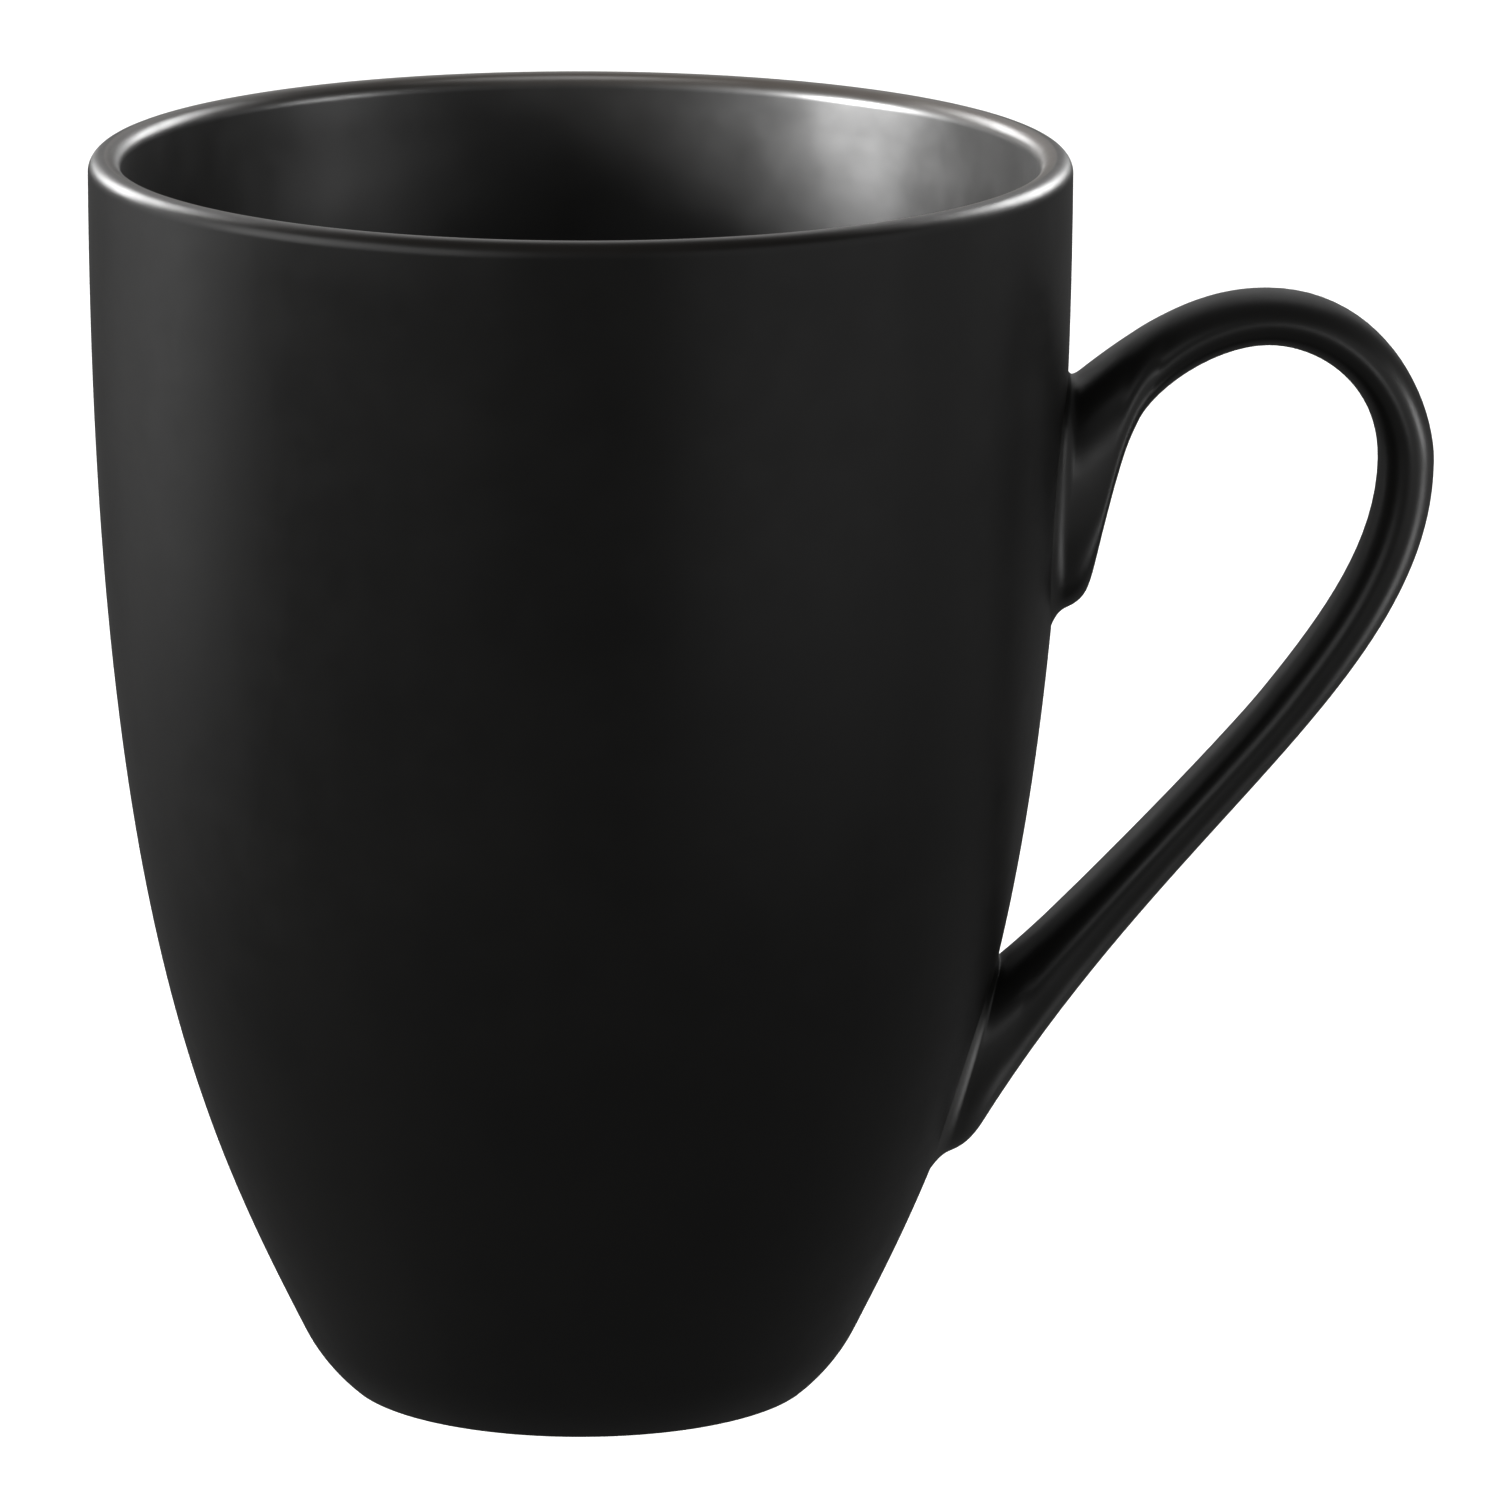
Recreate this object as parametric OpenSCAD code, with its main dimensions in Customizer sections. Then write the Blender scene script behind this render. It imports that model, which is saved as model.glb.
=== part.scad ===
// Coffee mug in glazed stoneware: a vessel on a low foot ring, and a cast handle luted to it with slip.
// The vessel stands on z = 0 with its axis on Z, and the handle lies in the XZ plane on the +X side.
// Heights and diameters are those of the glazed, finished mug unless a comment says clay.

/* [Vessel] */
// Height from the table to the top of the lip
height = 108; // [90:1:135]
// Diameter across the rim
rim_d = 84; // [70:1:104]
// Outer diameter of the flat face that the foot stands on
foot_d = 38.5; // [32:0.5:46]
// Clay wall thickness low on the side
wall_t = 3.2; // [2.5:0.1:4.5]
// Clay thickness at the lip, which is fully rounded
lip_t = 2.2; // [1.6:0.1:3.2]
// Clay thickness of the floor above the recess
floor_t = 4.4; // [3:0.1:6]
// Lean of the wall from upright where it leaves the bottom corner, in degrees
wall_lean = 26; // [18:1:32]
// Clay radius of the bottom corner, between the foot and the wall
corner_r = 15.5; // [12:0.5:20]
// Length over which the wall stays upright below the rim, as a curve handle
shoulder_pull = 64.5; // [45:0.5:75]
// Length over which the wall keeps its lean above the corner, as a curve handle
belly_pull = 19; // [10:0.5:26]
// Height over which the inside wall rounds into the floor
cove_h = 13; // [8:0.5:20]

/* [Foot] */
// Radius of the rounding on the foot's outer edge
foot_round = 1.2; // [0.9:0.1:2]
// Width of the flat ring that touches the table
foot_ring_w = 3.2; // [2:0.1:5]
// Depth of the recess inside the foot ring
recess_depth = 1.8; // [1.2:0.1:3]
// Radius of the rounding on the foot ring's inner edge
recess_round = 0.6; // [0.4:0.1:1]
// Radius where the recess wall turns into its ceiling
recess_cove = 1; // [0.6:0.1:1.4]

/* [Handle] */
// Drop from the rim to the top of the upper pad
rim_drop = 20; // [16:0.2:28]
// Height of the upper pad on the wall
upper_pad_h = 19.7; // [16:0.1:24]
// Width of the upper pad
upper_pad_w = 15; // [12:0.5:19]
// Height of the lower pad's bottom edge above the table
lower_pad_z = 20; // [18:0.5:25]
// Height of the lower pad on the wall
lower_pad_h = 16.7; // [14:0.1:21]
// Width of the lower pad
lower_pad_w = 14; // [12:0.5:17]
// How far the handle stands out beyond the rim
handle_reach = 31.2; // [26:0.1:38]
// How far the arch's highest point stands out beyond the rim
arch_out = 16.8; // [14:0.1:19]
// Rise of the arch above the top of the upper pad
arch_rise = 8.2; // [6:0.1:10]
// Drop from the top of the upper pad to the handle's outermost point
knuckle_drop = 6.6; // [5:0.1:10]
// Thickness of the strap at the arch
arch_t = 4.6; // [3.8:0.1:6]
// Thickness of the strap at its outermost point
knuckle_t = 4.8; // [3.8:0.1:6]
// Width of the strap between the pads
strap_w = 9.5; // [8:0.1:12]
// Squareness of the strap's section, where 2 is an ellipse
strap_squareness = 2.2; // [2:0.1:3]
// Squareness of the pads' outline
pad_squareness = 2.5; // [2:0.1:3.2]
// How far the upper pad's bottom edge stands out from the wall
upper_heel_out = 3.2; // [2.4:0.1:4]
// Height over which the upper pad's bottom edge rounds into its face
upper_heel_h = 3; // [2:0.1:4]
// How far the lower pad's bottom edge stands out from the wall
lower_heel_out = 4.1; // [3:0.1:5]
// Height over which the lower pad's bottom edge rounds into its face
lower_heel_h = 3; // [2:0.1:4]

/* [Slip and glaze] */
// Thickness of the slip between a pad and the wall
slip_t = 0.4; // [0.2:0.05:0.8]
// Reach of the slip bead that is wiped round each pad
bead_r = 1.4; // [0.8:0.1:1.6]
// Thickness of each coat of glaze
glaze_t = 0.3; // [0.2:0.05:0.5]
// Height above the table at which the outside coat ends
glaze_lift = 0.06; // [0.04:0.01:0.2]

/* [Hidden] */
$fn = 96;
// Keeps the flat faces of the slip out of the round wall
seat_gap = 0.02;
sides = 24;
wall_steps = 44;
arc_steps = 10;
halvings = 24;
clay_colour = "#b9b2a6";
slip_colour = "#a39c90";
matte_black = "#1e1e1d";
satin_black = "#141414";

// Curves
function aim(angle) = [cos(angle), sin(angle)];
function bezier(p, u) = pow(1 - u, 3) * p[0] + 3 * u * pow(1 - u, 2) * p[1]
    + 3 * u * u * (1 - u) * p[2] + pow(u, 3) * p[3];
function slope(p, u) = pow(1 - u, 2) * (p[1] - p[0]) + 2 * u * (1 - u) * (p[2] - p[1])
    + u * u * (p[3] - p[2]);
function unit(v) = v / norm(v);
function mix(a, b, share) = a + (b - a) * share;
function between(a, b, at) = [mix(a[0], b[0], at[0]), mix(a[1], b[1], at[1])];
// A curve that leaves a along aim_a and reaches b along aim_b
function stretch(a, aim_a, b, aim_b, pull) = [a, a + pull[0] * norm(b - a) * aim_a,
    b - pull[1] * norm(b - a) * aim_b, b];
function right_of(v) = [v[1], -v[0]];
function reversed(list) = [for (i = [len(list) - 1 : -1 : 0]) list[i]];
function points_of(pairs, offset) = [for (p = pairs) p[0] + offset * p[1]];

// Clay outline of the vessel. Each entry is a point [radius, height] and the direction out of the clay.
foot_r = foot_d / 2;
foot_lean = asin((foot_round - glaze_lift) / (foot_round + glaze_t));
corner_at = [foot_r + foot_round * cos(foot_lean) - corner_r * cos(foot_lean),
    foot_round * (1 - sin(foot_lean)) + corner_r * sin(foot_lean)];
corner_arc = [for (i = [0 : arc_steps])
    let (a = foot_lean + (wall_lean - foot_lean) * i / arc_steps, out = aim(-a))
    [corner_at + corner_r * out, out]];
wall_start = corner_arc[arc_steps][0];
lip_r = lip_t / 2;
lip_at = [rim_d / 2 - glaze_t - lip_r, height - glaze_t - lip_r];
wall_curve = [wall_start, wall_start + belly_pull * [sin(wall_lean), cos(wall_lean)],
    lip_at + [lip_r, -shoulder_pull], lip_at + [lip_r, 0]];
function wall_point(u) = bezier(wall_curve, u);
function wall_out(u) = right_of(unit(slope(wall_curve, u)));
outer_wall = [for (i = [1 : wall_steps]) let (u = i / wall_steps) [wall_point(u), wall_out(u)]];
outer_lip = [for (i = [1 : arc_steps]) let (out = aim(90 * i / arc_steps)) [lip_at + lip_r * out, out]];
outer_outline = concat(corner_arc, outer_wall, outer_lip);

// The wall thins from wall_t at the corner to lip_t at the lip
function wall_thickness(u) = wall_t + (lip_t - wall_t) * pow(u, 3);
function inner_point(u) = wall_point(u) - wall_thickness(u) * wall_out(u);
function inner_u(z, lo = 0, hi = 1, tries = halvings) = let (mid = (lo + hi) / 2)
    tries == 0 ? mid : inner_point(mid)[1] < z ? inner_u(z, mid, hi, tries - 1)
    : inner_u(z, lo, mid, tries - 1);
floor_z = recess_depth + floor_t;
cove_u = inner_u(floor_z + cove_h);
cove_top = inner_point(cove_u);
cove_down = -unit(slope(wall_curve, cove_u));
cove_corner = cove_top + cove_down * (floor_z - cove_top[1]) / cove_down[1];
// The cove reaches in as far as it does up, unless that would leave too little flat floor
least_flat = 0.2;
cove_reach = min(norm(cove_corner - cove_top), (1 - least_flat) * cove_corner[0]);
cove_fullness = 0.56;
cove_curve = [cove_top, mix(cove_top, cove_corner, cove_fullness),
    cove_corner - [(1 - cove_fullness) * cove_reach, 0], cove_corner - [cove_reach, 0]];
inner_lip = [for (i = [0 : arc_steps]) let (out = aim(90 + 90 * i / arc_steps)) [lip_at + lip_r * out, out]];
inner_wall = [for (i = [1 : wall_steps]) let (u = 1 + (cove_u - 1) * i / wall_steps)
    [inner_point(u), -wall_out(u)]];
cove = [for (i = [1 : arc_steps]) let (u = i / arc_steps)
    [bezier(cove_curve, u), right_of(unit(slope(cove_curve, u)))]];
inner_outline = concat(inner_lip, inner_wall, cove, [[[0, floor_z], [0, 1]]]);

// Underside: the recess inside the foot ring, then the bare ring and its rounded edges
recess_lean = 15;
ring_inner_r = foot_r - foot_ring_w;
recess_edge = [for (i = [0 : arc_steps]) let (a = (90 - recess_lean) * i / arc_steps)
    [ring_inner_r - recess_round * sin(a), recess_round * (1 - cos(a))]];
side_top_z = recess_depth - recess_cove * (1 - sin(recess_lean));
side_low = recess_edge[arc_steps];
side_top = side_low + [-tan(recess_lean), 1] * (side_top_z - side_low[1]);
recess_turn_at = side_top + recess_cove * [-cos(recess_lean), -sin(recess_lean)];
recess_side = [[side_low, [-cos(recess_lean), -sin(recess_lean)]]];
recess_turn = [for (i = [0 : arc_steps])
    let (out = -aim(recess_lean + (90 - recess_lean) * i / arc_steps))
    [recess_turn_at - recess_cove * out, out]];
recess_outline = concat(recess_side, recess_turn, [[[0, recess_depth], [0, -1]]]);
foot_edge = [for (i = [0 : arc_steps])
    let (a = 90 + (foot_lean - 90) * i / arc_steps) [foot_r, foot_round] + foot_round * aim(-a)];

// Radius of the clay wall at a height, found by halving the wall curve
function wall_u(z, lo = 0, hi = 1, tries = halvings) = let (mid = (lo + hi) / 2)
    tries == 0 ? mid : wall_point(mid)[1] < z ? wall_u(z, mid, hi, tries - 1)
    : wall_u(z, lo, mid, tries - 1);
function wall_r(z) = wall_point(wall_u(z))[0];
function on_wall(y, z, lift) = [sqrt(pow(wall_r(z) + lift, 2) - y * y), y, z];

// The glazed handle's outer and inner edges in the XZ plane, from the upper pad to the lower one
pad_top = height - rim_drop;
rim_r = rim_d / 2;
function on_coat(z) = [wall_r(z) + glaze_t, z];
arch_top = [rim_r + arch_out, pad_top + arch_rise];
knuckle = [rim_r + handle_reach, pad_top - knuckle_drop];
arch_under = arch_top - [0, arch_t];
knuckle_in = knuckle - [knuckle_t, 0];
upper_toe = on_coat(pad_top - upper_pad_h);
upper_face = upper_toe + [upper_heel_out, upper_heel_h];
lower_toe = on_coat(lower_pad_z);
lower_face = lower_toe + [lower_heel_out, lower_heel_h];
landing = on_coat(lower_pad_z + lower_pad_h);
// Place of the neck between the upper face and the arch, and of the knee between the landing and the knuckle
neck_at = [0.187, 0.596];
knee_at = [0.7045, 0.5433];
neck = between(upper_face, arch_under, neck_at);
knee = between(landing, knuckle_in, knee_at);

// Directions of the edges where their stretches meet
right = [1, 0];
down = [0, -1];
heel_aim = aim(12);
top_aim = aim(41);
upper_face_aim = aim(78);
lower_face_aim = aim(59);
neck_aim = aim(68.5);
knee_aim = aim(52);
landing_aim = aim(42.6);

// Each stretch of edge. The last pair is how far it keeps each end's direction, in shares of the stretch.
upper_heel = stretch(upper_toe, heel_aim, upper_face, upper_face_aim, [0.547, 0.342]);
lower_heel = stretch(lower_toe, heel_aim, lower_face, lower_face_aim, [0.525, 0.295]);
outer_rise = stretch(on_coat(pad_top), top_aim, arch_top, right, [0.505, 0.275]);
outer_turn = stretch(arch_top, right, knuckle, down, [0.479, 0.266]);
outer_fall = stretch(knuckle, down, lower_face, -lower_face_aim, [0.269, 0.452]);
inner_rise = stretch(upper_face, upper_face_aim, neck, neck_aim, [0.749, 0.298]);
inner_arch = stretch(neck, neck_aim, arch_under, right, [0.327, 0.299]);
inner_turn = stretch(arch_under, right, knuckle_in, down, [0.321, 0.471]);
inner_fall = stretch(knuckle_in, down, knee, -knee_aim, [0.328, 0.364]);
inner_land = stretch(knee, -knee_aim, landing, -landing_aim, [0.153, 0.313]);

// Ribs across the clay strap, inside the coat: [inner end, outer end, freedom from the wall, from 0 to 1]
function in_right(curve, u) = bezier(curve, u) + glaze_t * right_of(unit(slope(curve, u)));
function in_left(curve, u) = bezier(curve, u) - glaze_t * right_of(unit(slope(curve, u)));
function rib(inner, inner_u, outer, outer_u, free) =
    [in_left(inner, inner_u), in_right(outer, outer_u), free];
function bead_u(heel) = bead_r / (3 * norm(heel[1] - heel[0]));
function steps(count) = [for (i = [0 : count - 1]) i / count];
heel_steps = [0.4, 0.6, 0.8];
// Shares of the outer edge's rise that lie over the upper pad and over the neck, and the freedom at each
pad_share = 0.28;
neck_share = 0.5;
pad_free = 0.17;
neck_free = 0.57;
// Share of the outer edge's fall that lies over the knee
knee_share = 0.33;
// Share of the inner landing that lies above the lower pad's edge, and the freedom there
edge_share = 0.82;
edge_free = 0.2;
upper_end = [for (u = concat([0, bead_u(upper_heel)], heel_steps))
    rib(upper_heel, u, outer_rise, pad_share * u, pad_free * u)];
rise = [for (u = steps(5))
    rib(inner_rise, u, outer_rise, mix(pad_share, neck_share, u), mix(pad_free, neck_free, u))];
arch = [for (u = steps(5)) rib(inner_arch, u, outer_rise, mix(neck_share, 1, u), mix(neck_free, 1, u))];
turn = [for (u = steps(8)) rib(inner_turn, u, outer_turn, u, 1)];
fall = [for (u = steps(5)) rib(inner_fall, u, outer_fall, knee_share * u, 1)];
land = [for (u = steps(8))
    rib(inner_land, edge_share * u, outer_fall, mix(knee_share, 1, u), mix(1, edge_free, u))];
lower_end = [for (u = concat([1], reversed(heel_steps), [bead_u(lower_heel), 0]))
    [in_left(inner_land, mix(1, edge_share, u)), in_left(lower_heel, u), edge_free * u]];
upper_ribs = concat(upper_end, rise, arch, turn);
lower_ribs = concat(fall, land, lower_end);
seat = slip_t + seat_gap;

function superellipse(angle, power) = [for (c = aim(angle)) sign(c) * pow(abs(c), 2 / power)];
function section(rib, pad_w) =
    let (free = rib[2], flare = pow(1 - free, 2), hug = pow(1 - free, 4),
        width = strap_w + (pad_w - strap_w) * flare - 2 * glaze_t,
        power = strap_squareness + (pad_squareness - strap_squareness) * flare,
        middle = (rib[0] + rib[1]) / 2, half = (rib[1] - rib[0]) / 2)
    [for (j = [0 : sides - 1])
        let (s = superellipse(360 * j / sides, power), y = s[1] * width / 2, p = middle + s[0] * half,
            sag = p[0] - sqrt(p[0] * p[0] - y * y))
        free == 0 ? on_wall(y, p[1], seat) : [p[0] - hug * sag, y, p[1]]];
strap = concat([for (rib = upper_ribs) section(rib, upper_pad_w)],
    [for (rib = lower_ribs) section(rib, lower_pad_w)]);
last = len(strap) - 1;

// Rings on the wall under a pad: shrunk towards its middle, or grown by the slip bead
function centre(ring) = [for (axis = [0 : 2]) [for (p = ring) p[axis]] * [for (p = ring) 1 / sides]];
function shrunk(ring, share, lift) = let (c = centre(ring))
    [for (p = ring) on_wall(c[1] + share * (p[1] - c[1]), c[2] + share * (p[2] - c[2]), lift)];
function grown(ring, reach, lift) = let (c = centre(ring)) [for (j = [0 : sides - 1])
    let (p = ring[j], along = ring[(j + 1) % sides] - ring[(j + sides - 1) % sides],
        across = right_of(unit([along[1], along[2]])),
        out = across * sign(across * [p[1] - c[1], p[2] - c[2]]))
    on_wall(p[1] + reach * out[0], p[2] + reach * out[1], lift)];
shares = [0.25, 0.5, 0.75];
function bead(pad, side_ring) = let (toe = grown(pad, bead_r, seat_gap))
    [for (u = concat([0], shares))
        [for (j = [0 : sides - 1])
            pow(1 - u, 2) * toe[j] + 2 * u * (1 - u) * pad[j] + u * u * side_ring[j]]];
upper_bead = bead(strap[0], strap[1]);
lower_bead = bead(strap[last], strap[last - 1]);

// Two triangles for each patch between ring i and the next, split along the shorter diagonal
function band(rings, i) = let (next = (i + 1) % len(rings), first = i * sides, second = next * sides)
    [for (j = [0 : sides - 1])
        let (k = (j + 1) % sides, a = first + j, b = second + j, c = second + k, d = first + k)
        each norm(rings[i][j] - rings[next][k]) < norm(rings[next][j] - rings[i][k])
            ? [[a, b, c], [a, c, d]] : [[a, b, d], [b, c, d]]];

// A closed skin over rings of points, with a middle point at each end
module skin(rings, start, end) {
    count = len(rings);
    middles = count * sides;
    end_ring = middles - sides;
    polyhedron(concat([for (ring = rings) each ring], [start, end]), concat(
        [for (i = [0 : count - 2]) each band(rings, i)],
        [for (j = [0 : sides - 1]) [middles, j, (j + 1) % sides]],
        [for (j = [0 : sides - 1]) [middles + 1, end_ring + (j + 1) % sides, end_ring + j]]),
        convexity = 6);
}

// A hollow sleeve: the rings run along one face and back along the other
module sleeve(rings) {
    polyhedron([for (ring = rings) each ring], [for (i = [0 : len(rings) - 1]) each band(rings, i)],
        convexity = 6);
}

module vessel() {
    color(clay_colour)
    rotate_extrude()
    polygon(concat(foot_edge, points_of(outer_outline, 0), points_of(inner_outline, 0),
        reversed(points_of(recess_outline, 0)), reversed(recess_edge)));
}

module handle() {
    caps = [for (share = shares) shrunk(strap[0], share, seat)];
    end_caps = [for (share = reversed(shares)) shrunk(strap[last], share, seat)];
    start = shrunk(strap[0], 0, seat)[0];
    end = shrunk(strap[last], 0, seat)[0];
    color(clay_colour)
    skin(concat(caps, strap, end_caps), start, end);
}

// Slip under one pad and round its edge: over the wall face, out along the bead, and back under the pad
module slip_joint(pad, side_ring, bead_rings, mirrored) {
    wall_face = [for (share = concat(shares, [1])) shrunk(pad, share, seat_gap)];
    pad_face = [for (share = reversed(shares)) shrunk(pad, share, seat)];
    wall_middle = shrunk(pad, 0, seat_gap)[0];
    pad_middle = shrunk(pad, 0, seat)[0];
    rings = concat(wall_face, bead_rings, [side_ring, pad], pad_face);
    color(slip_colour)
    if (mirrored) skin(reversed(rings), pad_middle, wall_middle);
    else skin(rings, wall_middle, pad_middle);
}

module upper_slip_joint() {
    slip_joint(strap[0], strap[1], upper_bead, false);
}

module lower_slip_joint() {
    slip_joint(strap[last], strap[last - 1], lower_bead, true);
}

// Window in the outside coat, where a pad was already luted to the bare wall
module pad_window(bead_rings) {
    rotate([90, 0, 90])
    linear_extrude(rim_d)
    polygon([for (p = bead_rings[0]) [p[1], p[2]]]);
}

module coat(outline) {
    rotate_extrude()
    polygon(concat(points_of(outline, glaze_t), reversed(points_of(outline, 0))));
}

module outer_glaze() {
    color(matte_black)
    difference() {
        coat(outer_outline);
        pad_window(upper_bead);
        pad_window(lower_bead);
    }
}

module liner_glaze() {
    color(satin_black)
    coat(inner_outline);
}

module base_glaze() {
    color(matte_black)
    coat(recess_outline);
}

// Coat over the strap and both beads, from one edge of the outside coat to the other
module handle_glaze() {
    under = concat(upper_bead, [for (i = [1 : last - 1]) strap[i]], reversed(lower_bead));
    count = len(under);
    over = [for (i = [0 : count - 1])
        [for (j = [0 : sides - 1])
            let (p = under[i][j], along = under[min(i + 1, count - 1)][j] - under[max(i - 1, 0)][j],
                across = under[i][(j + 1) % sides] - under[i][(j + sides - 1) % sides])
            i == 0 || i == count - 1 ? on_wall(p[1], p[2], glaze_t)
            : p + glaze_t * unit(cross(along, across))]];
    color(matte_black)
    sleeve(concat(over, reversed(under)));
}

vessel();
handle();
upper_slip_joint();
lower_slip_joint();
outer_glaze();
liner_glaze();
handle_glaze();
base_glaze();
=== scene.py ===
import math

import bmesh
import bpy
from mathutils import Matrix, Vector


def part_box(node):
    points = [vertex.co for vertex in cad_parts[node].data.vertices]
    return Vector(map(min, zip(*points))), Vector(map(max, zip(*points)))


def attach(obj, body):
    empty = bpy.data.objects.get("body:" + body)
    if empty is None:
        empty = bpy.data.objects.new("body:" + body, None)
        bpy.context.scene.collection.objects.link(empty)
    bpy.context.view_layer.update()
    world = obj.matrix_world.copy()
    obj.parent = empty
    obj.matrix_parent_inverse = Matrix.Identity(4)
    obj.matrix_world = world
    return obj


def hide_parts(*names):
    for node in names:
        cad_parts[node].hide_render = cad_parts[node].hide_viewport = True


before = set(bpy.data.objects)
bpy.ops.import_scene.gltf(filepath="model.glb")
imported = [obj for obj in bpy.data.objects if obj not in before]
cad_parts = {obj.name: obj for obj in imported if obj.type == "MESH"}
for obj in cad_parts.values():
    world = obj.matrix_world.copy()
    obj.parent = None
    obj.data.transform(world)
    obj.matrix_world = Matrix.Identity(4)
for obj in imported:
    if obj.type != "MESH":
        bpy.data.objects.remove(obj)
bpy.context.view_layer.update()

# Glazed coffee mug on a pale floor. Curves are drawn in millimetres and placed in metres.
mm = 0.001
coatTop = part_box("outer_glaze")[1]
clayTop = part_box("vessel")[1]
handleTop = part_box("handle_glaze")[1]
scene = bpy.context.scene

mug = dict(
    height=coatTop.z / mm,
    rimR=coatTop.y / mm,
    glazeT=(coatTop.z - clayTop.z) / mm,
    slipT=0.4,
    seatGap=0.02,          # clearance between the slip and the round wall
    spinSteps=240,
)
seat = mug["slipT"] + mug["seatGap"]     # from the wall to the clay of a pad
weldGap = 1e-6             # metres, as is axisGap
axisGap = 1e-7
sharpAngle = 35            # degrees


# Curves in a plane: a point is a radius or x, then a height.

def aim(degrees):
    return Vector((math.cos(math.radians(degrees)), math.sin(math.radians(degrees))))


def mix(a, b, share):
    return a + (b - a) * share


def bezier(p, u):
    return (1 - u) ** 3 * p[0] + 3 * u * (1 - u) ** 2 * p[1] + 3 * u * u * (1 - u) * p[2] + u ** 3 * p[3]


def outOf(p, u):
    # unit vector to the right of a curve's direction
    along = (1 - u) ** 2 * (p[1] - p[0]) + 2 * u * (1 - u) * (p[2] - p[1]) + u * u * (p[3] - p[2])
    return Vector((along.y, -along.x)).normalized()


def stretch(a, aimA, b, aimB, pull):
    # leaves a along aimA and reaches b along aimB
    chord = (b - a).length
    return [a, a + pull[0] * chord * aimA, b - pull[1] * chord * aimB, b]


def halved(curve, height, halvings=30):
    # the share of a rising curve at which it reaches a height
    low, high = 0, 1
    for _ in range(halvings):
        middle = (low + high) / 2
        if curve(middle).y < height:
            low = middle
        else:
            high = middle
    return low


def steps(count):
    return [(i + 1) / count for i in range(count)]


# The vessel's outline is made of pairs: a point on the clay, and the direction out of the clay.
vesselShape = dict(
    footR=19.25,
    wallT=3.2,
    lipT=2.2,
    floorT=4.4,
    wallLean=26,
    cornerR=15.5,
    shoulderPull=64.5,     # how far the wall stays upright below the rim
    bellyPull=19,          # how far it keeps its lean above the corner
    coveH=13,
    coveFullness=0.56,
    footRound=1.2,
    glazeLift=0.06,        # the outside coat ends this far above the floor
    footRingW=3.2,
    recessDepth=1.8,
    recessRound=0.6,
    recessCove=1,
    recessLean=15,
    wallSteps=60,
    arcSteps=14,
)


def arcPairs(centre, radius, start, end, count, side=1):
    # round stretch of outline; side is -1 where the clay lies outside the arc
    pairs = []
    for share in steps(count):
        out = aim(mix(start, end, share))
        pairs.append((centre + radius * out, side * out))
    return pairs


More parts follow.
